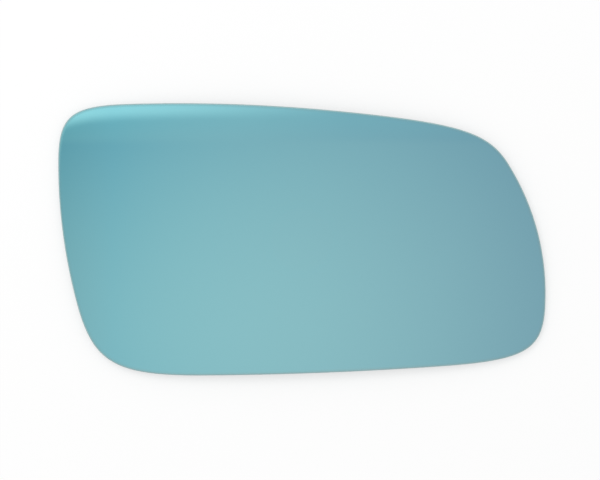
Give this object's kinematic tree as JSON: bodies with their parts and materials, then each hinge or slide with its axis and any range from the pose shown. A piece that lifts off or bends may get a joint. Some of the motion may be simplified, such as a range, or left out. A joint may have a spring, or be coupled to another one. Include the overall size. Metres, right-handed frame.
{
  "type": "car door mirror glass",
  "caption": "Bare convex glass for a right-hand car door mirror: a bent, silvered sheet with a ground edge and a top edge that falls to the outer end.",
  "frame": {"origin": "middle of the outline's box, on the surface that the glass lies on with its reflecting side up", "axes": "+X along the width to the outer end, +Y to the top edge as fitted on the car, +Z out of the reflecting face"},
  "size_m": [0.18, 0.1004, 0.0055],
  "materials": {
    "mirror_glass": "polished"
  },
  "bodies": {
    "root": {"mirror_glass": "mirror_glass"}
  },
  "joints": []
}
